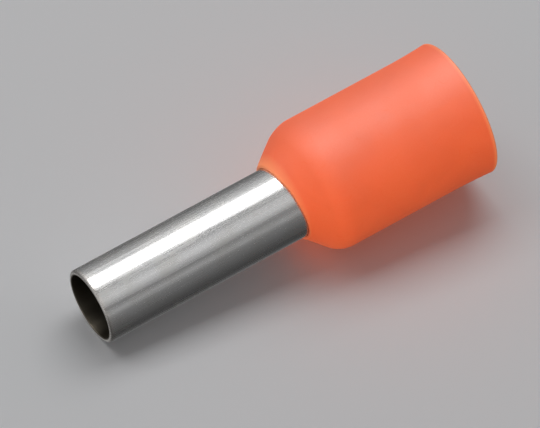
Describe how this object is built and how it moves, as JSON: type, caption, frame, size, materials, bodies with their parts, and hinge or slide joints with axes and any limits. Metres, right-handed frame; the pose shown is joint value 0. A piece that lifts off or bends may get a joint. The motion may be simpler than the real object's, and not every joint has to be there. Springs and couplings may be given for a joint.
{
  "type": "wire ferrule",
  "caption": "Insulated wire-end ferrule: a thin plated metal tube with a flared end, seated in an orange moulded plastic collar with a coned shoulder and an open mouth.",
  "frame": {"origin": "centre of the collar's mouth, in the plane of its rim, on which the ferrule stands", "axes": "+Z along the axis, from the collar's mouth to the tip of the metal tube; X and Y are any two square directions, because the ferrule is round"},
  "size_m": [0.0058, 0.0058, 0.0173],
  "materials": {
    "tube": "satin",
    "collar": "satin"
  },
  "bodies": {
    "root": {"tube": "tube", "collar": "collar"}
  },
  "joints": []
}
